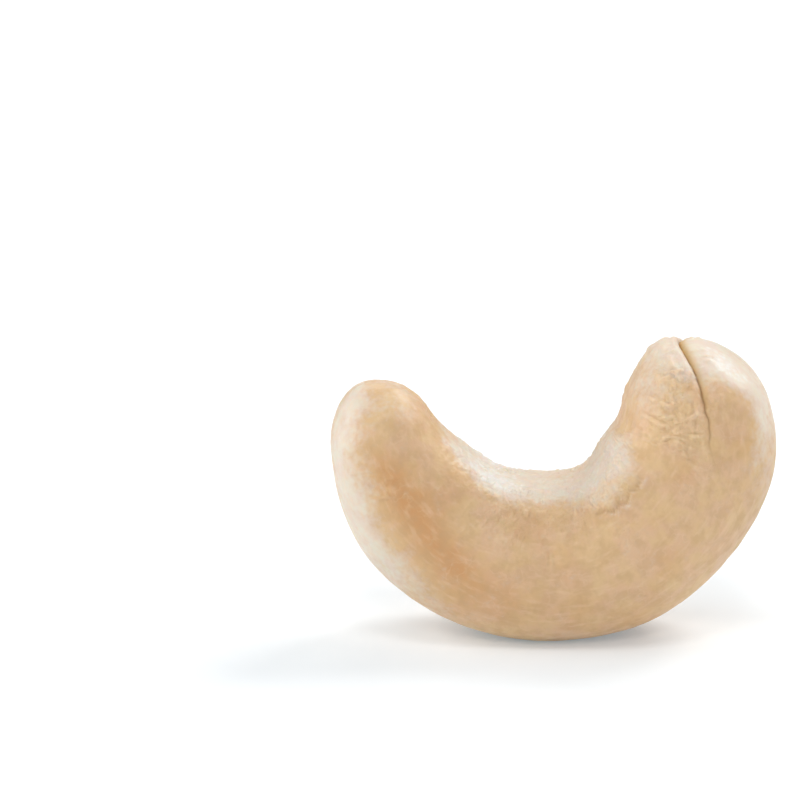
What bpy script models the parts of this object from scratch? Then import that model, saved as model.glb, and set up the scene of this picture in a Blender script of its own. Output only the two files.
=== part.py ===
"""One whole cashew kernel, 28 mm across, standing on the small flat spot of its rounded back.

Metres, +Z up. The kernel curves in the XZ plane with its hollow side up, its thin arm at -X and its
blunt arm at +X. Its front faces -Y, and the origin is the middle of the flat spot. A ball is drawn
out along the spine, a smooth line from tip to tip, and each ring of the ball becomes a section.
"""

import math

import bmesh
import bpy
import numpy as np

MM = 0.001
NODE = "kernel"

# The sections, evenly spaced along the spine from the thin tip to the blunt tip, in millimetres:
# the spine's x and z, how far it lies to the front, then the section's reach to the outside of the
# curve, to the hollow, and to the front or the back. The caps round off the two end rows.
STATIONS = (
    (-11.7, 16.4, 0.8, 2.3, 2.9, 2.9),
    (-10.5, 12.7, 0.5, 3.45, 3.4, 4.2),
    (-8.7, 9.4, 0.2, 4.65, 4.3, 5.0),
    (-6.1, 6.7, 0.0, 5.05, 4.75, 5.4),
    (-2.7, 5.15, 0.0, 5.15, 5.1, 5.7),
    (1.0, 4.8, 0.0, 5.05, 5.3, 5.8),
    (4.5, 5.95, 0.0, 5.2, 5.15, 5.8),
    (7.3, 8.45, 0.0, 5.1, 5.1, 5.7),
    (9.05, 11.75, -0.2, 5.05, 5.2, 5.4),
    (9.3, 15.4, -0.4, 4.1, 4.7, 4.9),
    (8.9, 18.95, -0.5, 2.7, 4.2, 4.2),
)
THIN_CAP = 3.0 * MM
BLUNT_CAP = 4.0 * MM
SQUARENESS = 2.3

# The cleft where the two seed leaves part at the blunt tip. It starts on the hollow side of the
# spine, where the cap ends too, and bends to the outside as it runs down the arm, front and back.
# Its inner lip is steep, its outer lip slopes, and the inner lobe swells beside it at the tip.
CLEFT_DEPTH = 0.5 * MM
CLEFT_RUN = 6.5 * MM
CLEFT_START = -1.0 * MM
CLEFT_END = 0.35 * MM
CLEFT_BEND = 1.9 * MM
STEEP_LIP = 0.2 * MM
SLOPING_LIP = 0.5 * MM
SWELL_HEIGHT = 0.25 * MM
SWELL_ASIDE = 1.6 * MM
SWELL_WIDTH = 1.3 * MM
SWELL_RUN = 2.2 * MM

RINGS = 72
SIDES = 56
CROWDING = 0.6

COLOUR = (0.67, 0.47, 0.28, 1.0)
ROUGHNESS = 0.55


def smooth_through(values):
    """The natural cubic spline through evenly spaced values, as a function of the station."""
    count = len(values)
    values = np.array(values)
    system = np.eye(count)
    turning = np.zeros(count)
    for row in range(1, count - 1):
        system[row, row - 1 : row + 2] = 1.0, 4.0, 1.0
        turning[row] = 6.0 * (values[row + 1] - 2.0 * values[row] + values[row - 1])
    bend = np.linalg.solve(system, turning)

    def at(station):
        low = np.clip(np.floor(station).astype(int), 0, count - 2)
        after = station - low
        before = 1.0 - after
        line = before * values[low] + after * values[low + 1]
        return line + ((before**3 - before) * bend[low] + (after**3 - after) * bend[low + 1]) / 6.0

    return at


LAST = len(STATIONS) - 1
spine_x, spine_z, forward, outer, inner, half_thick = (
    smooth_through([value * MM for value in column]) for column in zip(*STATIONS)
)


def spine_length():
    """The length of the spine from tip to tip."""
    station = np.linspace(0.0, LAST, 400)
    return float(np.hypot(np.diff(spine_x(station)), np.diff(spine_z(station))).sum())


LENGTH = spine_length()


def along_spine(share):
    """The distance from the thin tip along the spine, how much of the section's full size is there,
    and how far the blunt cap has drawn it aside, for a share of the way over the surface from tip
    to tip. The caps are quarter ellipses."""
    quarter = math.pi / 2
    body = LENGTH - THIN_CAP - BLUNT_CAP
    walk = share * (body + quarter * (THIN_CAP + BLUNT_CAP))
    thin = np.clip(walk / THIN_CAP, 0.0, quarter)
    straight = np.clip(walk - quarter * THIN_CAP, 0.0, body)
    blunt = np.clip((walk - quarter * THIN_CAP - body) / BLUNT_CAP, 0.0, quarter)
    distance = THIN_CAP * (1.0 - np.cos(thin)) + straight + BLUNT_CAP * np.sin(blunt)
    return distance, np.sin(thin) * np.cos(blunt), CLEFT_START * (1.0 - np.cos(blunt))


def surface(share, turn):
    """Points of the smooth kernel, and each point's distance from the blunt tip and its place
    across the section, for shares of the way from tip to tip and turns about the spine. Turn 0
    faces the outside of the curve, a quarter turn the front, and a half turn the hollow."""
    distance, fullness, drawn = along_spine(share)
    station = LAST * distance / LENGTH
    step = 1e-3
    run_x = spine_x(station + step) - spine_x(station - step)
    run_z = spine_z(station + step) - spine_z(station - step)
    run = np.hypot(run_x, run_z)
    cos, sin = np.cos(turn), np.sin(turn)
    reach = np.where(cos > 0.0, outer(station), inner(station))
    corner = (np.abs(cos) / reach) ** SQUARENESS + (np.abs(sin) / half_thick(station)) ** SQUARENESS
    radius = fullness * corner ** (-1.0 / SQUARENESS)
    across = radius * cos + drawn
    x = spine_x(station) + across * run_z / run
    y = -forward(station) - radius * sin
    z = spine_z(station) - across * run_x / run
    return np.stack((x, y, z), axis=1), LENGTH - distance, across


def cleft(from_tip, across):
    """How far the surface sinks in the cleft, less how far the inner lobe swells beside it."""
    fade = np.clip(1.0 - from_tip / CLEFT_RUN, 0.0, 1.0)
    middle = CLEFT_END + (CLEFT_START - CLEFT_END) * np.exp(-from_tip / CLEFT_BEND)
    aside = across - middle
    lip = np.where(aside < 0.0, STEEP_LIP, SLOPING_LIP) * (0.3 + 0.7 * fade)
    sunk = CLEFT_DEPTH * fade * np.exp(-np.abs(aside) / lip)
    off_swell = (aside + SWELL_ASIDE) / SWELL_WIDTH
    swell = SWELL_HEIGHT * np.exp(-(off_swell**2) - (from_tip / SWELL_RUN) ** 2)
    return sunk - swell


def make_kernel():
    """The kernel as one closed mesh: a ball drawn out along the spine, then cleft and set down."""
    mesh = bpy.data.meshes.new(NODE)
    ball = bmesh.new()
    bmesh.ops.create_uvsphere(ball, u_segments=SIDES, v_segments=RINGS, radius=1.0)
    ball.to_mesh(mesh)
    ball.free()
    place = np.empty(len(mesh.vertices) * 3)
    mesh.vertices.foreach_get("co", place)
    place = place.reshape(-1, 3)
    share = np.arccos(np.clip(place[:, 2], -1.0, 1.0)) / math.pi
    turn = np.arctan2(place[:, 1], place[:, 0])
    turn = turn + 0.5 * CROWDING * np.sin(2.0 * turn)
    points, from_tip, across = surface(share, turn)
    mesh.vertices.foreach_set("co", points.ravel())
    mesh.update()
    outward = np.empty(len(points) * 3)
    mesh.vertices.foreach_get("normal", outward)
    points -= outward.reshape(-1, 3) * cleft(from_tip, across)[:, None]
    points[:, 2] = np.maximum(points[:, 2], 0.0)
    mesh.vertices.foreach_set("co", points.ravel())
    mesh.update()
    mesh.shade_smooth()
    return mesh


def skin():
    """The pale tan skin of a peeled kernel."""
    material = bpy.data.materials.new("cashew")
    material.use_nodes = True
    shader = material.node_tree.nodes["Principled BSDF"]
    shader.inputs["Base Color"].default_value = COLOUR
    shader.inputs["Roughness"].default_value = ROUGHNESS
    shader.inputs["Metallic"].default_value = 0.0
    return material


def main():
    for old in list(bpy.data.objects):
        bpy.data.objects.remove(old)
    collection = bpy.data.collections.new("cashew_nut")
    bpy.context.scene.collection.children.link(collection)
    kernel = bpy.data.objects.new(NODE, make_kernel())
    kernel.data.materials.append(skin())
    collection.objects.link(kernel)


main()
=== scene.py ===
"""The looks of one whole cashew kernel, standing on a white floor in soft studio light.

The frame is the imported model's: the front faces -Y, the thin arm is at -X and the blunt arm at +X.
The skin is worked out in millimetres, and its mesh is made in metres. It follows the same sections
as the solid. It is a grid of rings round the spine, and two of the columns that run from tip to tip
lie where the two seed leaves meet. The relief is then raised or sunk along the smooth surface's own
normals.
"""

import math
import random

import bpy
import numpy as np
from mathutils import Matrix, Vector, noise


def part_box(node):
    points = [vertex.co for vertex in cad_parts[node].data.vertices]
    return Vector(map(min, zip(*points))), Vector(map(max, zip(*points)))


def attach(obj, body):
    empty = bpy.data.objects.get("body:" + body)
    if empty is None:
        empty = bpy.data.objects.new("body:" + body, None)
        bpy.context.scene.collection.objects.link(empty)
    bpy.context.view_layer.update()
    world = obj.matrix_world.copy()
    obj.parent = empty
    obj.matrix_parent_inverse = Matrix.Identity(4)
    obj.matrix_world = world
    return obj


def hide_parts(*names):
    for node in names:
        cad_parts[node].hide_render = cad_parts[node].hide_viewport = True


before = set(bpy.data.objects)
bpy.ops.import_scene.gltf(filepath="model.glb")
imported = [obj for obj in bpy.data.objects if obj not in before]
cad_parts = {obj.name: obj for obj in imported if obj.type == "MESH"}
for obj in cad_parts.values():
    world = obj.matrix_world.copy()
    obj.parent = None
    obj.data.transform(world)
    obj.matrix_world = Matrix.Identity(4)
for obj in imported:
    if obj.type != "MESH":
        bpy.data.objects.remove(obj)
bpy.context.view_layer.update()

# Lengths are in millimetres and turns in degrees, but the floor, the lights and the camera are in
# metres. A name with BELL in it holds the bell's middle and width, and any other pair the start and
# the end of a smooth step or a range.
MM = 0.001
NODE = "kernel"

# The sections, as in the solid: evenly spaced along the spine from the thin tip to the blunt tip.
# The spine's x and z, how far it lies to the front, then the section's reach to the outside of the
# curve, to the hollow, and to the front or the back.
STATIONS = (
    (-11.7, 16.4, 0.8, 2.3, 2.9, 2.9),
    (-10.5, 12.7, 0.5, 3.45, 3.4, 4.2),
    (-8.7, 9.4, 0.2, 4.65, 4.3, 5.0),
    (-6.1, 6.7, 0.0, 5.05, 4.75, 5.4),
    (-2.7, 5.15, 0.0, 5.15, 5.1, 5.7),
    (1.0, 4.8, 0.0, 5.05, 5.3, 5.8),
    (4.5, 5.95, 0.0, 5.2, 5.15, 5.8),
    (7.3, 8.45, 0.0, 5.1, 5.1, 5.7),
    (9.05, 11.75, -0.2, 5.05, 5.2, 5.4),
    (9.3, 15.4, -0.4, 4.1, 4.7, 4.9),
    (8.9, 18.95, -0.5, 2.7, 4.2, 4.2),
)
THIN_CAP = 3.0
BLUNT_CAP = 4.0
SQUARENESS = 2.3

# The grid: its rings and columns, how much the columns crowd towards the cleft and the seam, the
# most that they lean there, as a sine, and the least half thickness that the lean is worked out from.
RINGS = 400
SIDES = 248
CROWDING = 0.45
MOST_LEAN = 0.5
LEAST_ROOM = 0.01
LENGTH_STEPS = 400
STATION_STEP = 1e-3

# The course of the cleft over the blunt tip, as in the solid: how far it runs, where across the
# section it starts and ends, and how soon it bends from one to the other.
CLEFT_RUN = 6.5
CLEFT_START = -1.0
CLEFT_END = 0.35
CLEFT_BEND = 1.9

# Past the cleft the seam winds a quarter turn, from the faces to the rounded back and the hollow,
# between these distances from the blunt tip.
SEAM_WINDS = (5.5, 14.0)

# How the cleft and the seam waver: how far aside, the scale and the start of each wave, and the
# distances from the blunt tip over which it sets in.
FINE_JAG = 0.05
FINE_WAVES = ((0.21, 0.0), (0.57, 1.0))
BROAD_JAG = 0.07
BROAD_WAVE = (0.9, 2.0)
JAG_RISES = (1.0, 3.5)


def smooth_through(values):
    """The natural cubic spline through evenly spaced values, as a function of the station, which
    counts the sections from the thin tip."""
    count = len(values)
    values = np.array(values)
    system = np.eye(count)
    turning = np.zeros(count)
    for row in range(1, count - 1):
        system[row, row - 1 : row + 2] = 1.0, 4.0, 1.0
        turning[row] = 6.0 * (values[row + 1] - 2.0 * values[row] + values[row - 1])
    bend = np.linalg.solve(system, turning)

    def at(station):
        low = np.clip(np.floor(station).astype(int), 0, count - 2)
        after = station - low
        before = 1.0 - after
        line = before * values[low] + after * values[low + 1]
        return line + ((before**3 - before) * bend[low] + (after**3 - after) * bend[low + 1]) / 6.0

    return at


LAST = len(STATIONS) - 1
spine_x, spine_z, forward, outer, inner, half_thick = (
    smooth_through(column) for column in zip(*STATIONS)
)


def spine_length():
    """The length of the spine from tip to tip."""
    station = np.linspace(0.0, LAST, LENGTH_STEPS)
    return float(np.hypot(np.diff(spine_x(station)), np.diff(spine_z(station))).sum())


LENGTH = spine_length()


def ease(value, start, end):
    """0 before start, 1 after end, and a smooth step between."""
    t = np.clip((value - start) / (end - start), 0.0, 1.0)
    return t * t * (3.0 - 2.0 * t)


def fade(value, start, end):
    """1 before start, 0 after end, and a smooth step between."""
    return 1.0 - ease(value, start, end)


def within(value, rises, falls):
    """1 between two smooth steps, each given by its start and end, and 0 outside them."""
    return ease(value, *rises) * fade(value, *falls)


def hump(value, middle, width):
    """A bell of height 1 at its middle."""
    return np.exp(-(((value - middle) / width) ** 2))


def blend(first, second, share):
    """A value on the way from the first to the second."""
    return first + (second - first) * share


def along_spine(share):
    """The distance from the thin tip along the spine, how much of the section's full size is there,
    and how far the blunt cap has drawn it aside, for a share of the way over the surface from tip
    to tip. The caps are quarter ellipses."""
    quarter = math.pi / 2
    body = LENGTH - THIN_CAP - BLUNT_CAP
    walk = share * (body + quarter * (THIN_CAP + BLUNT_CAP))
    thin = np.clip(walk / THIN_CAP, 0.0, quarter)
    straight = np.clip(walk - quarter * THIN_CAP, 0.0, body)
    blunt = np.clip((walk - quarter * THIN_CAP - body) / BLUNT_CAP, 0.0, quarter)
    distance = THIN_CAP * (1.0 - np.cos(thin)) + straight + BLUNT_CAP * np.sin(blunt)
    return distance, np.sin(thin) * np.cos(blunt), CLEFT_START * (1.0 - np.cos(blunt))


def wave(value, scale, start):
    """A sine wave along a value, of this scale and from this start."""
    return np.sin(value / scale + start)


def jag(from_tip):
    """How far the cleft and the seam stray aside at these distances from the blunt tip."""
    first, second = FINE_WAVES
    fine = FINE_JAG * wave(from_tip, *first) * wave(from_tip, *second)
    return (fine + BROAD_JAG * wave(from_tip, *BROAD_WAVE)) * ease(from_tip, *JAG_RISES)


class Skin:
    """The smooth surface as a grid, one row for each ring from the thin tip to the blunt tip, with
    what the relief and the colours need to know of each point.

    points: its place
    straight: its place as if the spine were straight, along it, across it and to the front
    from_tip: its distance from the blunt tip along the spine
    across: how far it is from the spine to the outside of the curve
    frontness: how far it is from the spine to the front
    degrees: how far round the spine it is from the outside of the curve, from 0 to 180
    aside: how far it is from the line of the cleft and the seam, to the outside of the curve by
        the cleft, and to the back once the seam has wound
    wound: how much of the seam's quarter turn is made there, from 0 to 1
    """

    def __init__(self):
        share = np.linspace(0.0, 1.0, RINGS + 1)[:, None]
        column = np.linspace(0.0, 2.0 * math.pi, SIDES, endpoint=False)[None, :]
        column = column + 0.5 * CROWDING * np.sin(2.0 * column)
        distance, fullness, drawn = along_spine(share)
        station = LAST * distance / LENGTH
        from_tip = LENGTH - distance
        wound = ease(from_tip, *SEAM_WINDS)
        middle = CLEFT_END + (CLEFT_START - CLEFT_END) * np.exp(-from_tip / CLEFT_BEND)
        middle = middle * (1.0 - wound) + jag(from_tip)
        room = np.maximum(fullness * half_thick(station), LEAST_ROOM)
        lean = -np.arcsin(np.clip((middle - drawn) / room, -MOST_LEAN, MOST_LEAN))
        wind = wound * math.pi / 2
        turn = column + lean * np.sin(column) - wind

        cos, sin = np.cos(turn), np.sin(turn)
        reach = np.where(cos > 0.0, outer(station), inner(station))
        corner = (np.abs(cos) / reach) ** SQUARENESS
        corner = corner + (np.abs(sin) / half_thick(station)) ** SQUARENESS
        radius = fullness * corner ** (-1.0 / SQUARENESS)
        across = radius * cos + drawn
        run_x = spine_x(station + STATION_STEP) - spine_x(station - STATION_STEP)
        run_z = spine_z(station + STATION_STEP) - spine_z(station - STATION_STEP)
        run = np.hypot(run_x, run_z)
        x = spine_x(station) + across * run_z / run
        y = -forward(station) - radius * sin
        z = spine_z(station) - across * run_x / run

        self.points = np.stack((x, y, z), axis=2)
        self.from_tip = np.broadcast_to(from_tip, turn.shape)
        self.across = across
        self.frontness = radius * sin
        self.straight = np.stack((self.from_tip, across, self.frontness), axis=2)
        self.degrees = np.degrees(np.abs(np.arctan2(sin, cos)))
        self.aside = radius * np.cos(turn + wind) + drawn - middle
        self.wound = np.broadcast_to(wound, turn.shape)


# The noises: the size of their lumps, and a shift that sets each apart from the rest.
NOISES = {
    "seam": (4.0, 3.7),
    "broad": (3.6, 1.3),
    "dimples": (1.2, 5.1),
    "patches": (2.4, 8.8),
    "sway": (0.8, 2.2),
    "folds_across": (0.46, 6.3),
    "folds_along": (0.45, 7.1),
    "crumple": (0.42, 9.4),
    "crease": (0.8, 4.4),
    "pale_along": (3.4, 0.6),
    "pale_round": (2.8, 4.9),
}


def lumps(places, name, stretch=(1.0, 1.0, 1.0)):
    """One of the noises, smooth, from about -1 to 1, stretched along each direction."""
    size, shift = NOISES[name]
    scaled = places.reshape(-1, 3) / (size * np.array(stretch)) + shift
    values = [noise.noise(Vector(place)) for place in scaled]
    return np.array(values).reshape(places.shape[:-1])


# The cleft is as in the solid but with crisper lips, which are finer where it ends.
CLEFT_DEPTH = 0.38
STEEP_LIP = 0.11
SLOPING_LIP = 0.45
LIP_LEFT_AT_END = 0.3
LIP_HEIGHT = 0.06
LIP_BELL = (-0.32, 0.17)
SWELL_HEIGHT = 0.25
SWELL_BELL = (-1.6, 1.3)
SWELL_RUN = 2.2


def cleft_left(skin):
    """How much of the cleft is left at each distance from the blunt tip, from 1 to 0."""
    return np.clip(1.0 - skin.from_tip / CLEFT_RUN, 0.0, 1.0)


def cleft(skin):
    """The height of the cleft, of the fine lip on its inner side, and of the inner lobe that swells
    beside it."""
    left = cleft_left(skin)
    lip = np.where(skin.aside < 0.0, STEEP_LIP, SLOPING_LIP) * blend(LIP_LEFT_AT_END, 1.0, left)
    sunk = CLEFT_DEPTH * left * np.exp(-np.abs(skin.aside) / lip)
    edge = LIP_HEIGHT * np.sqrt(left) * hump(skin.aside, *LIP_BELL)
    swell = SWELL_HEIGHT * hump(skin.aside, *SWELL_BELL) * hump(skin.from_tip, 0.0, SWELL_RUN)
    return swell + edge - sunk


# The groove is shallower where it still runs over the faces. Its strength is uneven along its way.
SEAM_DEPTH = 0.04
SEAM_WIDTH = 0.16
SEAM_ON_FACES = 0.35
SEAM_RISES = (4.0, 8.0)
SEAM_STRENGTH = 0.65
SEAM_UNEVEN = 0.6
RIDGE_HEIGHT = 0.025
RIDGE_BELL = (0.75, 0.4)


def seam(skin):
    """The height of the faint seam past the cleft: a fine groove, between two soft ridges where it
    runs along the rounded back and the hollow."""
    strength = SEAM_STRENGTH + SEAM_UNEVEN * lumps(skin.straight, "seam")
    strength = strength * ease(skin.from_tip, *SEAM_RISES)
    groove = SEAM_DEPTH * blend(SEAM_ON_FACES, 1.0, skin.wound)
    groove = groove * np.exp(-np.abs(skin.aside) / SEAM_WIDTH)
    ridges = RIDGE_HEIGHT * skin.wound * hump(np.abs(skin.aside), *RIDGE_BELL)
    return strength * (ridges - groove)


BROAD_HEIGHT = 0.05
DIMPLE_HEIGHT = 0.022


def swells(skin):
    """The height of the broad unevenness of the whole kernel, and of the finer dimples on it."""
    broad = BROAD_HEIGHT * lumps(skin.points, "broad")
    return broad + DIMPLE_HEIGHT * lumps(skin.points, "dimples")


# The shoulders of the hollow, across the section and from the blunt tip.
HOLLOW_SHOULDER_BELL = (-4.0, 1.3)
HOLLOW_SHOULDER_RISES = (7.0, 11.0)
HOLLOW_SHOULDER_FALLS = (27.0, 33.0)


def by_the_hollow(skin):
    """How near each place is to the shoulders of the hollow, from 0 to 1."""
    near = hump(skin.across, *HOLLOW_SHOULDER_BELL)
    return near * within(skin.from_tip, HOLLOW_SHOULDER_RISES, HOLLOW_SHOULDER_FALLS)


# Where the skin is wrinkled: on the inner lobe, less so towards the hollow, and in patches, which
# fade on the rounded outside.
LOBE_BELL = (-2.4, 1.9)
LOBE_FADES = (4.0, 8.0)
LOBE_TURNS_IN = (115.0, 150.0)
LOBE_LEFT_INSIDE = 0.25
PATCH_EDGES = (0.0, 0.55)
BETWEEN_PATCHES = 0.16
ON_PATCHES = 0.58
FACES_BEGIN = (25.0, 65.0)
PATCHES_LEFT_OUTSIDE = 0.15
BY_HOLLOW_SHARE = 0.7
MOST_WRINKLED = 1.2


def wrinkled(skin):
    """How strongly each place is wrinkled, from 0 to about 1: most on the inner lobe beside the
    cleft and on the shoulders of the hollow, and in patches over the rest."""
    lobe = hump(skin.aside, *LOBE_BELL) * fade(skin.from_tip, *LOBE_FADES)
    lobe = lobe * blend(1.0, LOBE_LEFT_INSIDE, ease(skin.degrees, *LOBE_TURNS_IN))
    patches = ease(lumps(skin.points, "patches"), *PATCH_EDGES)
    patches = blend(BETWEEN_PATCHES, ON_PATCHES, patches)
    patches = patches * blend(PATCHES_LEFT_OUTSIDE, 1.0, ease(skin.degrees, *FACES_BEGIN))
    by_hollow = BY_HOLLOW_SHARE * by_the_hollow(skin)
    return np.clip(patches + lobe + by_hollow, 0.0, MOST_WRINKLED)


# How far the folds sway, how much longer they are across and along the kernel than they are wide,
# the heights outside and inside the hollow, and how near the hollow the folds turn along it.
SWAY = 0.5
ACROSS = (1.0, 2.2, 2.2)
ALONG = (6.5, 1.0, 1.0)
FOLD_HEIGHT = 0.26
HOLLOW_FOLD_HEIGHT = 0.22
CRUMPLE_HEIGHT = 0.15
HOLLOW_CRUMPLE_HEIGHT = 0.08
FOLDS_TURN = (0.1, 0.6)


def wrinkles(skin):
    """The height of the fine wrinkles: wavy folds, which run across the kernel but along the
    hollow, and a finer crumple in every direction. Each is the size of a noise, so that it has
    rounded tops and sharp hollows."""
    places = skin.straight + SWAY * lumps(skin.straight, "sway")[..., None]
    across = FOLD_HEIGHT * np.abs(lumps(places, "folds_across", ACROSS))
    along = HOLLOW_FOLD_HEIGHT * np.abs(lumps(places, "folds_along", ALONG))
    in_hollow = ease(by_the_hollow(skin), *FOLDS_TURN)
    crumple = blend(CRUMPLE_HEIGHT, HOLLOW_CRUMPLE_HEIGHT, in_hollow)
    crumple = crumple * np.abs(lumps(skin.points, "crumple"))
    return wrinkled(skin) * (blend(across, along, in_hollow) + crumple)


# The soft edges of the flat faces: their heights, how far round they lie, and from where to where.
THIN_EDGE_HEIGHT = 0.12
THIN_EDGE_BELL = (54.0, 15.0)
THIN_EDGE_RISES = (20.0, 27.0)
THIN_EDGE_FALLS = (33.0, 37.0)
HOLLOW_EDGE_HEIGHT = 0.14
HOLLOW_EDGE_BELL = (134.0, 12.0)
HOLLOW_EDGE_RISES = (7.0, 11.0)
HOLLOW_EDGE_FALLS = (26.0, 31.0)


def shoulders(skin):
    """The height of the soft edges where the flat faces turn to the rounded back, along the thin
    arm, and to the hollow, along the middle of the kernel."""
    thin = within(skin.from_tip, THIN_EDGE_RISES, THIN_EDGE_FALLS)
    thin = THIN_EDGE_HEIGHT * thin * hump(skin.degrees, *THIN_EDGE_BELL)
    hollow = within(skin.from_tip, HOLLOW_EDGE_RISES, HOLLOW_EDGE_FALLS)
    return thin + HOLLOW_EDGE_HEIGHT * hollow * hump(skin.degrees, *HOLLOW_EDGE_BELL)


# The crease lies this far across the section, strays from its line, and drops towards its far end.
CREASE_STRAY = 0.3
CREASE_ACROSS = -3.05
CREASE_DROP = 0.5
CREASE_DROPS = (12.5, 15.5)
CREASE_RISES = (9.0, 10.0)
CREASE_FALLS = (14.8, 15.8)
CREASE_DEPTH = 0.12
CREASE_BELL = (0.0, 0.1)
CREASE_LIP_HEIGHT = 0.1
CREASE_LIP_BELL = (0.22, 0.15)


def off_the_crease(skin):
    """How far each place is above or below the one jagged crease that runs along the front shoulder
    of the hollow, and how much of the crease is there, from 0 to 1."""
    along_only = skin.straight * np.array((1.0, 0.0, 0.0))
    line = CREASE_ACROSS - CREASE_DROP * ease(skin.from_tip, *CREASE_DROPS)
    line = line + CREASE_STRAY * lumps(along_only, "crease")
    there = within(skin.from_tip, CREASE_RISES, CREASE_FALLS)
    return skin.across - line, there * (skin.frontness > 0.0)


def crease(skin):
    """The height of the crease, with its raised lower lip."""
    off, there = off_the_crease(skin)
    lip = CREASE_LIP_HEIGHT * hump(off, *CREASE_LIP_BELL)
    return there * (lip - CREASE_DEPTH * hump(off, *CREASE_BELL))


# The wall rises towards the hollow, and the folds on it lie at these turns.
WALL_HEIGHT = 0.42
WALL_RISES = (2.0, 4.6)
WALL_BELL = (10.4, 3.3)
WALL_FOLD_DEPTH = 0.07
WALL_FOLD_BELLS = ((150.0, 1.6), (159.0, 1.8))
WALL_FOLDS_RISE = (1.6, 2.6)
WALL_FOLDS_FALL = (5.2, 6.4)


def hollow_forms(skin):
    """The height of the fuller wall of the hollow below the blunt arm, and of the two fine folds
    that run up it."""
    fuller = WALL_HEIGHT * ease(-skin.across, *WALL_RISES) * hump(skin.from_tip, *WALL_BELL)
    folds = sum(hump(skin.degrees, *bell) for bell in WALL_FOLD_BELLS)
    folds = folds * within(skin.from_tip, WALL_FOLDS_RISE, WALL_FOLDS_FALL)
    return fuller - WALL_FOLD_DEPTH * folds


PITS = 14
PIT_SEED = 5
PITS_FROM_TIP = (3.0, 34.0)
PITS_ACROSS = (-3.0, 3.0)
PIT_WIDTHS = (0.13, 0.26)
PIT_DEPTH_TO_WIDTH = 0.3


def pits(skin):
    """The height of a few small pits, on the front and on the back in turn."""
    draw = random.Random(PIT_SEED)
    depth = np.zeros_like(skin.across)
    for count in range(PITS):
        from_tip = draw.uniform(*PITS_FROM_TIP)
        across = draw.uniform(*PITS_ACROSS)
        width = draw.uniform(*PIT_WIDTHS)
        side = 1.0 if count % 2 else -1.0
        off = np.hypot(skin.from_tip - from_tip, skin.across - across)
        pit = PIT_DEPTH_TO_WIDTH * width * hump(off, 0.0, width)
        depth = depth + pit * (skin.frontness * side > 0.0)
    return -depth


def relief(skin):
    """The height of everything that the plain sections leave out."""
    forms = (cleft, seam, swells, wrinkles, shoulders, crease, hollow_forms, pits)
    return sum(form(skin) for form in forms)


# How far the edges of the pale zones wander, along the kernel and round it. The pale zones are
# partly paler skin and partly painted highlight.
WANDER_ALONG = 0.7
WANDER_ROUND = 5.0


def pale_and_highlight_zones(skin):
    """How pale the skin is, from 0 to about 1, partly its own paler tone and partly painted highlight
    where the light falls strongest: over the tips, along the rounded outside of both arms, in the
    hollow and above the crease."""
    from_tip = skin.from_tip + WANDER_ALONG * lumps(skin.points, "pale_along")
    degrees = skin.degrees + WANDER_ROUND * lumps(skin.points, "pale_round")
    zones = (
        pale_tips(skin, from_tip),
        pale_thin_arm(from_tip, degrees),
        pale_blunt_arm(skin, from_tip, degrees),
        pale_hollow(from_tip, degrees),
        pale_above_crease(skin),
    )
    return np.max(zones, axis=0)


THIN_TIP_PALE = 0.35
THIN_TIP_RISES = (34.2, 36.6)
BLUNT_TIP_PALE = 0.85
BLUNT_TIP_FADES = (0.6, 2.8)
INNER_LOBE_PALE = 0.4
INNER_LOBE_FADES = (1.5, 5.5)
INNER_LOBE_RISES = (0.1, 0.8)


def pale_tips(skin, from_tip):
    """How pale the thin tip, the blunt tip and the inner lobe are, partly paler skin and partly
    painted highlight on their tops.
    """
    thin = THIN_TIP_PALE * ease(from_tip, *THIN_TIP_RISES)
    blunt = BLUNT_TIP_PALE * fade(from_tip, *BLUNT_TIP_FADES)
    lobe = INNER_LOBE_PALE * fade(from_tip, *INNER_LOBE_FADES) * ease(-skin.aside, *INNER_LOBE_RISES)
    return np.max((thin, blunt, lobe), axis=0)


# The zone ends at this turn, and is wider towards the tip and wider still over it.
THIN_ARM_PALE = 0.9
THIN_ARM_RISES = (22.5, 29.0)
THIN_ARM_START = 42.0
THIN_ARM_END = 80.0
THIN_ARM_WIDER = 20.0
THIN_ARM_WIDENS = (28.0, 36.0)
THIN_TIP_WIDER = 60.0
THIN_TIP_WIDENS = (35.4, 37.4)
THIN_BACK_LEFT = 0.6
THIN_BACK_ENDS = (5.0, 45.0)


def pale_thin_arm(from_tip, degrees):
    """How pale the thin arm is, along its rounded outside: more so by the faces than in the middle,
    and over more of the arm towards its tip. It is partly paler skin and partly painted highlight."""
    end = THIN_ARM_END + THIN_ARM_WIDER * ease(from_tip, *THIN_ARM_WIDENS)
    end = end + THIN_TIP_WIDER * ease(from_tip, *THIN_TIP_WIDENS)
    pale_and_highlight = THIN_ARM_PALE * fade(degrees, THIN_ARM_START, end) * ease(from_tip, *THIN_ARM_RISES)
    return pale_and_highlight * blend(THIN_BACK_LEFT, 1.0, ease(degrees, *THIN_BACK_ENDS))


# The zone's edge moves out with the distance from the tip, up to the most.
BLUNT_EDGE_SLOPE = 0.85
BLUNT_EDGE_MOST = 3.3
BLUNT_RISES = (-1.1, 0.7)
BLUNT_PALE_AT_TIP = 1.15
BLUNT_PALE_BELOW = 0.73
BLUNT_DULLS = (2.5, 6.0)
BLUNT_FADES = (4.6, 9.0)
BLUNT_BACK_LEFT = 0.65
BLUNT_BACK_ENDS = (8.0, 42.0)


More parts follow.
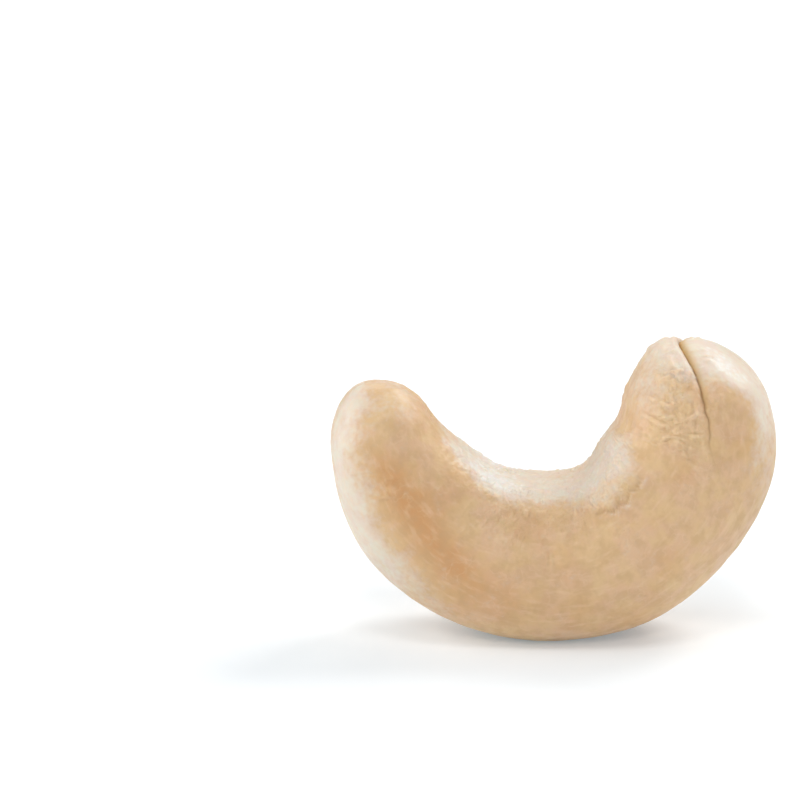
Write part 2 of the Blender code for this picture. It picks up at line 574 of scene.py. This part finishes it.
def pale_blunt_arm(skin, from_tip, degrees):
    """How pale the blunt arm is, along its rounded outside: a zone that narrows away from the tip,
    duller in the middle than by the faces. It is partly paler skin and partly painted highlight."""
    edge = np.minimum(BLUNT_EDGE_SLOPE * from_tip, BLUNT_EDGE_MOST)
    pale_and_highlight = ease(skin.across - edge, *BLUNT_RISES) * fade(from_tip, *BLUNT_FADES)
    pale_and_highlight = pale_and_highlight * blend(BLUNT_PALE_AT_TIP, BLUNT_PALE_BELOW, ease(from_tip, *BLUNT_DULLS))
    return pale_and_highlight * blend(BLUNT_BACK_LEFT, 1.0, ease(degrees, *BLUNT_BACK_ENDS))


HOLLOW_START = 128.0
HOLLOW_WIDTH = 26.0
HOLLOW_WIDER = 8.0
HOLLOW_WIDER_BELL = (9.5, 3.5)
HOLLOW_NARROWER = 8.0
HOLLOW_NARROWS = (27.5, 32.5)
HOLLOW_RISES = (3.5, 10.5)
HOLLOW_FALLS = (30.0, 34.5)
HOLLOW_FLOOR = (152.0, 175.0)
HOLLOW_FLOOR_LEFT = 0.75
HOLLOW_PALER = 0.5
HOLLOW_PALER_BELL = (26.5, 3.2)


def pale_hollow(from_tip, degrees):
    """How pale the hollow is: wider below the blunt arm, narrower and paler towards the thin arm,
    and duller along its floor. It is partly paler skin and partly painted highlight where the
    light from above falls on it."""
    start = HOLLOW_START - HOLLOW_WIDER * hump(from_tip, *HOLLOW_WIDER_BELL)
    start = start + HOLLOW_NARROWER * ease(from_tip, *HOLLOW_NARROWS)
    pale_and_highlight = ease(degrees, start, start + HOLLOW_WIDTH) * within(from_tip, HOLLOW_RISES, HOLLOW_FALLS)
    pale_and_highlight = pale_and_highlight * (1.0 + HOLLOW_PALER * hump(from_tip, *HOLLOW_PALER_BELL))
    return pale_and_highlight * blend(1.0, HOLLOW_FLOOR_LEFT, ease(degrees, *HOLLOW_FLOOR))


ABOVE_CREASE_PALE = 0.5
ABOVE_CREASE_RISES = (-0.1, 0.6)
# The crease's lower lip is lighter by a painted highlight.
CREASE_LIP_HIGHLIGHT = 0.36
LIP_HIGHLIGHT_BELL = (0.2, 0.15)


def pale_above_crease(skin):
    """How pale the skin is above the crease, partly painted highlight, and the painted highlight on
    its lower lip.
    """
    off, there = off_the_crease(skin)
    above = ABOVE_CREASE_PALE * ease(-off, *ABOVE_CREASE_RISES)
    return there * (above + CREASE_LIP_HIGHLIGHT * hump(off, *LIP_HIGHLIGHT_BELL))


WARM_MIDDLE = 72.0
WARM_WIDTH = 15.0
WARM_TURNS_IN = 18.0
WARM_TURNS_IN_OVER = (19.0, 31.0)
WARM_TURNS_BACK = 10.0
WARM_TURNS_BACK_OVER = (32.5, 35.5)
WARM_RISES = (16.0, 30.0)
WARM_FALLS = (32.0, 35.5)
WARM_ON_BACK = 0.55


def warm_zones(skin):
    """How warm the tan is, from 0 to 1: most along the faces of the thin arm, by its outer edge."""
    middle = WARM_MIDDLE + WARM_TURNS_IN * ease(skin.from_tip, *WARM_TURNS_IN_OVER)
    middle = middle - WARM_TURNS_BACK * ease(skin.from_tip, *WARM_TURNS_BACK_OVER)
    band = hump(skin.degrees, middle, WARM_WIDTH) * within(skin.from_tip, WARM_RISES, WARM_FALLS)
    return band * np.where(skin.frontness > 0.0, 1.0, WARM_ON_BACK)


# Where the painted shade lies on the sloping side of the cleft.
CLEFT_SHADE_BELL = (0.0, 0.42)


def cleft_shade_zones(skin):
    """How much painted shade lies on the sloping side of the cleft, from 0 to 1, towards the tip."""
    return (skin.aside > 0.0) * hump(skin.aside, *CLEFT_SHADE_BELL) * cleft_left(skin)


# The painted shade along the bottom of the cleft is darker than along the seam, and darkest a
# little way from the tip.
LINE_BELL = (0.0, 0.07)
SEAM_DARK = 0.06
CLEFT_DARK = 0.25
CLEFT_DARK_FADES = (5.0, 6.6)
CLEFT_DARKER = 0.35
CLEFT_DARKER_BELL = (2.6, 1.8)
CREASE_DARK = 0.26


def line_shade_zones(skin):
    """How dark the painted shade is along the bottoms of the grooves, from 0 to 1: the bottom of the
    cleft and of the crease, and the faint seam past the cleft."""
    dark = SEAM_DARK + CLEFT_DARK * fade(skin.from_tip, *CLEFT_DARK_FADES)
    dark = dark + CLEFT_DARKER * hump(skin.from_tip, *CLEFT_DARKER_BELL)
    off, there = off_the_crease(skin)
    in_crease = CREASE_DARK * there * hump(off, *LINE_BELL)
    return np.maximum(dark * hump(skin.aside, *LINE_BELL), in_crease)


HIGH_WRINKLE = 0.25


def ridge_highlight(skin):
    """How high the wrinkles stand at each place, from 0 to about 1, which sets the painted highlight
    on their tops.
    """
    return wrinkles(skin) / HIGH_WRINKLE


ZONES = {
    "pale_and_highlight": pale_and_highlight_zones,
    "warm": warm_zones,
    "cleft_shade": cleft_shade_zones,
    "line_shade": line_shade_zones,
    "wrinkled": wrinkled,
    "ridge_highlight": ridge_highlight,
}


def grid_faces():
    """The faces of the grid: a fan at each tip, and four-sided faces between."""
    first, last = 0, (RINGS - 1) * SIDES + 1
    faces = []
    for side in range(SIDES):
        beyond = (side + 1) % SIDES
        faces.append((first, 1 + side, 1 + beyond))
        for ring in range(RINGS - 2):
            low, high = 1 + ring * SIDES, 1 + (ring + 1) * SIDES
            faces.append((low + side, high + side, high + beyond, low + beyond))
        top = 1 + (RINGS - 2) * SIDES
        faces.append((top + side, last, top + beyond))
    return faces


def flat(grid):
    """A grid's values in the order of the mesh's points: one for each tip, the rest ring by ring."""
    inside = grid[1:-1].reshape((-1,) + grid.shape[2:])
    return np.concatenate((grid[:1, 0], inside, grid[-1:, 0]))


def inside_the_box(points):
    """Draws the points in where relief has carried them past the solid's box, each side evenly."""
    low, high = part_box(NODE)
    for axis in range(3):
        place = points[:, axis]
        over = max(place.max() / high[axis], 1.0)
        under = max(place.min() / low[axis], 1.0) if low[axis] < 0.0 else 1.0
        points[:, axis] = np.where(place > 0.0, place / over, place / under)
    return points


def make_skin():
    """The fine skin's mesh, in metres, with what the material reads at each point."""
    skin = Skin()
    mesh = bpy.data.meshes.new("cashew_skin")
    points = flat(skin.points) * MM
    mesh.from_pydata(points, [], grid_faces())
    outward = np.empty(points.size)
    mesh.vertices.foreach_get("normal", outward)
    points = points + outward.reshape(-1, 3) * flat(relief(skin))[:, None] * MM
    points[:, 2] = np.maximum(points[:, 2], 0.0)
    points = inside_the_box(points)
    mesh.vertices.foreach_set("co", points.ravel())
    mesh.update()
    mesh.shade_smooth()
    for name, places in (("place", skin.points), ("straight", skin.straight)):
        values = mesh.attributes.new(name, "FLOAT_VECTOR", "POINT")
        values.data.foreach_set("vector", flat(places).ravel())
    for name, zones in ZONES.items():
        values = mesh.attributes.new(name, "FLOAT", "POINT")
        values.data.foreach_set("value", flat(zones(skin)))
    return mesh


SCREEN_GAMMA = 2.2


def screen(red, green, blue):
    """A colour given as it shows on screen, from 0 to 255."""
    return tuple((value / 255.0) ** SCREEN_GAMMA for value in (red, green, blue)) + (1.0,)


YELLOW_TAN = screen(217, 183, 138)
PINK_TAN = screen(217, 180, 143)
WARM_TAN = screen(206, 154, 102)
DARK_TAN = screen(195, 157, 115)
LIGHT_TAN = screen(233, 202, 166)
# The creams and the white of the pale zones, which are partly painted highlight.
CREAM = screen(223, 212, 193)
PINK_CREAM = screen(223, 205, 188)
WHITE_CREAM = screen(231, 227, 219)
# The yellow-brown of the painted shade on the sloping side of the cleft.
CLEFT_SHADE = screen(200, 162, 100)
# The brown of the painted shade along the bottoms of the cleft, the seam and the crease.
LINE_SHADE = screen(150, 104, 62)

# The noises of the colour, the roughness and the bump: the size of their lumps in millimetres, and
# how much finer detail they have.
PATCHES = (1.6, 3.0)
BLOTCHES = (4.0, 3.0)
MOTTLE = (0.9, 4.0)
GRAIN = (0.35, 3.0)
STREAKS = (0.35, 4.0)
CONTOURS = (1.1, 2.0)
SHEEN = (0.9, 3.0)
ROUGH_GRAIN = (0.18, 3.0)
STREAK_STRETCH = (3.0, 1.0, 1.0)

RAGGEDNESS = 0.8
WRINKLES_SHINE = -0.08
SUBSURFACE_WEIGHT = 0.3
SUBSURFACE_RADIUS = (1.0, 0.55, 0.3)
SUBSURFACE_SCALE = 0.6 * MM
BUMP_DISTANCE = 0.035 * MM


class Nodes:
    """A material's nodes, with short ways to add them. A number, a colour or a socket will do for
    each value."""

    def __init__(self, name):
        self.material = bpy.data.materials.new(name)
        self.material.use_nodes = True
        self.tree = self.material.node_tree
        self.shader = self.tree.nodes["Principled BSDF"]

    def put(self, socket, value):
        if isinstance(value, bpy.types.NodeSocket):
            self.tree.links.new(value, socket)
        else:
            socket.default_value = value

    def attribute(self, name, output="Fac"):
        node = self.tree.nodes.new("ShaderNodeAttribute")
        node.attribute_name = name
        return node.outputs[output]

    def math(self, operation, *values):
        node = self.tree.nodes.new("ShaderNodeMath")
        node.operation = operation
        for socket, value in zip(node.inputs, values):
            self.put(socket, value)
        return node.outputs[0]

    def ramp(self, value, start, end, low=0.0, high=1.0):
        """A smooth step from low to high as the value goes from start to end."""
        node = self.tree.nodes.new("ShaderNodeMapRange")
        node.interpolation_type = "SMOOTHSTEP"
        for name, setting in (("Value", value), ("From Min", start), ("From Max", end)):
            self.put(node.inputs[name], setting)
        self.put(node.inputs["To Min"], low)
        self.put(node.inputs["To Max"], high)
        return node.outputs[0]

    def mix(self, share, first, second):
        """A colour between two colours."""
        node = self.tree.nodes.new("ShaderNodeMix")
        node.data_type = "RGBA"
        self.put(node.inputs[0], share)
        self.put(node.inputs[6], first)
        self.put(node.inputs[7], second)
        return node.outputs[2]

    def lumps(self, places, size, detail, stretch=(1.0, 1.0, 1.0)):
        """Noise in lumps of this size in millimetres, from 0 to 1."""
        scale = self.tree.nodes.new("ShaderNodeVectorMath")
        scale.operation = "DIVIDE"
        self.put(scale.inputs[0], places)
        scale.inputs[1].default_value = [size * factor for factor in stretch]
        node = self.tree.nodes.new("ShaderNodeTexNoise")
        node.inputs["Scale"].default_value = 1.0
        node.inputs["Detail"].default_value = detail
        self.put(node.inputs["Vector"], scale.outputs[0])
        return node.outputs["Fac"]

    def off_half(self, value):
        """How far a noise is from its middle."""
        return self.math("SUBTRACT", value, 0.5)


def tan_colour(nodes, patches, blotches, mottle, grain):
    """The mottled tan of most of the skin, warmer in its zones."""
    pinkness = nodes.ramp(patches, start=0.4, end=0.6)
    warmth = nodes.ramp(blotches, start=0.5, end=0.7, high=0.3)
    warmth = nodes.math("ADD", nodes.attribute("warm"), warmth)
    mottling = nodes.ramp(mottle, start=0.42, end=0.66, high=0.4)
    graining = nodes.ramp(grain, start=0.45, end=0.7, high=0.18)
    colour = nodes.mix(pinkness, YELLOW_TAN, PINK_TAN)
    colour = nodes.mix(warmth, colour, WARM_TAN)
    colour = nodes.mix(mottling, colour, DARK_TAN)
    return nodes.mix(graining, colour, DARK_TAN)


def paled(nodes, colour, patches, mottle, grain):
    """The colour with the pale zones over it, whose edges the noises make ragged. The zones are
    partly paler skin and partly painted highlight, which turns white where it is strongest.
    """
    ragged = nodes.math("ADD", nodes.off_half(grain), nodes.off_half(patches))
    pale_and_highlight = nodes.math("MULTIPLY_ADD", ragged, RAGGEDNESS, nodes.attribute("pale_and_highlight"))
    pinkness = nodes.ramp(mottle, start=0.4, end=0.6)
    whiteness = nodes.ramp(pale_and_highlight, start=0.95, end=1.45)
    cream = nodes.mix(whiteness, nodes.mix(pinkness, CREAM, PINK_CREAM), WHITE_CREAM)
    return nodes.mix(nodes.ramp(pale_and_highlight, start=0.05, end=0.95), colour, cream)


def contour_lines(nodes, places, patches):
    """Faint wandering lines, where a noise crosses its middle, in some of the patches."""
    off = nodes.math("ABSOLUTE", nodes.off_half(nodes.lumps(places, *CONTOURS)))
    line = nodes.ramp(off, start=0.0, end=0.03, low=0.18, high=0.0)
    return nodes.math("MULTIPLY", line, nodes.ramp(patches, start=0.45, end=0.6))


def skin_colour(nodes, places, straight):
    """The skin's colour: mottled tans, warmer in their zones and paler in theirs, where the paleness
    is partly painted highlight; lighter in fine streaks and lines, with a painted highlight on top of
    the wrinkles; with painted shade on the sloping side of the cleft and along the bottoms of the
    cleft, the seam and the crease."""
    patches = nodes.lumps(places, *PATCHES)
    blotches = nodes.lumps(places, *BLOTCHES)
    mottle = nodes.lumps(places, *MOTTLE)
    grain = nodes.lumps(places, *GRAIN)
    streaks = nodes.lumps(straight, *STREAKS, stretch=STREAK_STRETCH)

    colour = tan_colour(nodes, patches, blotches, mottle, grain)
    colour = paled(nodes, colour, patches, mottle, grain)
    lighter = (
        nodes.ramp(streaks, start=0.48, end=0.75, high=0.3),
        contour_lines(nodes, places, patches),
        # A painted highlight on the tops of the wrinkles.
        nodes.ramp(nodes.attribute("ridge_highlight"), start=0.15, end=0.8, high=0.5),
    )
    for share in lighter:
        colour = nodes.mix(share, colour, LIGHT_TAN)
    # Painted shade on the sloping side of the cleft.
    colour = nodes.mix(nodes.attribute("cleft_shade"), colour, CLEFT_SHADE)
    # Painted shade along the bottoms of the cleft, the seam and the crease.
    return nodes.mix(nodes.attribute("line_shade"), colour, LINE_SHADE)


def skin_material():
    """The kernel's waxy skin."""
    nodes = Nodes("cashew_skin")
    inputs = nodes.shader.inputs
    places = nodes.attribute("place", "Vector")
    straight = nodes.attribute("straight", "Vector")
    wrinkled_there = nodes.attribute("wrinkled")
    nodes.put(inputs["Base Color"], skin_colour(nodes, places, straight))
    sheen = nodes.lumps(places, *SHEEN)
    roughness = nodes.ramp(sheen, start=0.35, end=0.65, low=0.48, high=0.62)
    roughness = nodes.math("MULTIPLY_ADD", wrinkled_there, WRINKLES_SHINE, roughness)
    nodes.put(inputs["Roughness"], roughness)

    inputs["Subsurface Weight"].default_value = SUBSURFACE_WEIGHT
    inputs["Subsurface Radius"].default_value = SUBSURFACE_RADIUS
    inputs["Subsurface Scale"].default_value = SUBSURFACE_SCALE

    rougher = nodes.ramp(wrinkled_there, start=0.15, end=1.15, low=0.35, high=3.6)
    bump = nodes.tree.nodes.new("ShaderNodeBump")
    bump.inputs["Strength"].default_value = 1.0
    bump.inputs["Distance"].default_value = BUMP_DISTANCE
    grain = nodes.lumps(places, *ROUGH_GRAIN)
    nodes.put(bump.inputs["Height"], nodes.math("MULTIPLY", grain, rougher))
    nodes.put(inputs["Normal"], bump.outputs[0])
    return nodes.material


# The lights: the azimuth from the back and the elevation in degrees, the size in metres, and how
# bright a white card that faces the light would look.
LIGHTS = (
    ("high_front", 180.0, 62.0, 0.2, 0.26),
    ("front", 180.0, 35.0, 0.2, 0.242),
    ("left", -90.0, 30.0, 0.4, 0.595),
    ("back", 0.0, 45.0, 0.2, 0.09),
    ("back_right", 45.0, 45.0, 0.3, 0.55),
    ("right", 82.0, 28.0, 0.4, 0.2),
)
LIGHT_DISTANCE = 0.6
LIT_POINT = Vector((0.0, 0.0, 9.0 * MM))
WHITE = (1.0, 1.0, 1.0, 1.0)
WORLD_BRIGHTNESS = 0.12


def make_lights():
    """Square soft lights round the kernel."""
    for name, azimuth, elevation, size, brightness in LIGHTS:
        data = bpy.data.lights.new(name, "AREA")
        data.size = size
        data.energy = brightness * (math.pi * LIGHT_DISTANCE) ** 2
        light = bpy.data.objects.new(name, data)
        around, above = math.radians(azimuth), math.radians(elevation)
        level = math.cos(above)
        way = Vector((math.sin(around) * level, math.cos(around) * level, math.sin(above)))
        light.location = LIT_POINT + way * LIGHT_DISTANCE
        light.rotation_euler = way.to_track_quat("Z", "Y").to_euler()
        bpy.context.scene.collection.objects.link(light)


def make_world():
    """Plain white surroundings."""
    world = bpy.data.worlds.new("white")
    world.use_nodes = True
    background = world.node_tree.nodes["Background"]
    background.inputs["Color"].default_value = WHITE
    background.inputs["Strength"].default_value = WORLD_BRIGHTNESS
    bpy.context.scene.world = world


FLOOR_HALF = 1.5
FLOOR_COLOUR = (0.8, 0.795, 0.785, 1.0)
FLOOR_ROUGHNESS = 0.9
FLOOR_SHINE = 0.1
FLOOR_GLOW_COLOUR = (0.66, 0.85, 1.0, 1.0)
FLOOR_GLOW = 0.235


def floor_material():
    """A matte, nearly white surface, with the faint glow of a lit studio table."""
    material = bpy.data.materials.new("floor")
    material.use_nodes = True
    shader = material.node_tree.nodes["Principled BSDF"]
    shader.inputs["Base Color"].default_value = FLOOR_COLOUR
    shader.inputs["Roughness"].default_value = FLOOR_ROUGHNESS
    shader.inputs["Specular IOR Level"].default_value = FLOOR_SHINE
    shader.inputs["Emission Color"].default_value = FLOOR_GLOW_COLOUR
    shader.inputs["Emission Strength"].default_value = FLOOR_GLOW
    return material


def make_floor():
    """A plain white floor."""
    mesh = bpy.data.meshes.new("floor")
    half = FLOOR_HALF
    corners = [(-half, -half, 0.0), (half, -half, 0.0), (half, half, 0.0), (-half, half, 0.0)]
    mesh.from_pydata(corners, [], [(0, 1, 2, 3)])
    mesh.materials.append(floor_material())
    floor = bpy.data.objects.new("floor", mesh)
    bpy.context.scene.collection.objects.link(floor)


SENSOR_WIDTH = 36.0
LENS = 249.6
CLIP_START = 0.01
CAMERA_PLACE = (-9.452 * MM, -334.326 * MM, 104.575 * MM)
CAMERA_TILT = math.radians(75.0)


def make_camera():
    """The camera, in front of the kernel and a little above it."""
    data = bpy.data.cameras.new("camera")
    data.sensor_width = SENSOR_WIDTH
    data.lens = LENS
    data.clip_start = CLIP_START
    camera = bpy.data.objects.new("camera", data)
    camera.location = CAMERA_PLACE
    camera.rotation_euler = (CAMERA_TILT, 0.0, 0.0)
    bpy.context.scene.collection.objects.link(camera)
    bpy.context.scene.camera = camera


def main():
    make_camera()
    mesh = make_skin()
    mesh.materials.append(skin_material())
    kernel = bpy.data.objects.new("cashew_skin", mesh)
    bpy.context.scene.collection.objects.link(kernel)
    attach(kernel, "root")
    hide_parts(NODE)
    make_floor()
    make_world()
    make_lights()
    bpy.context.scene.view_settings.view_transform = "Standard"


main()
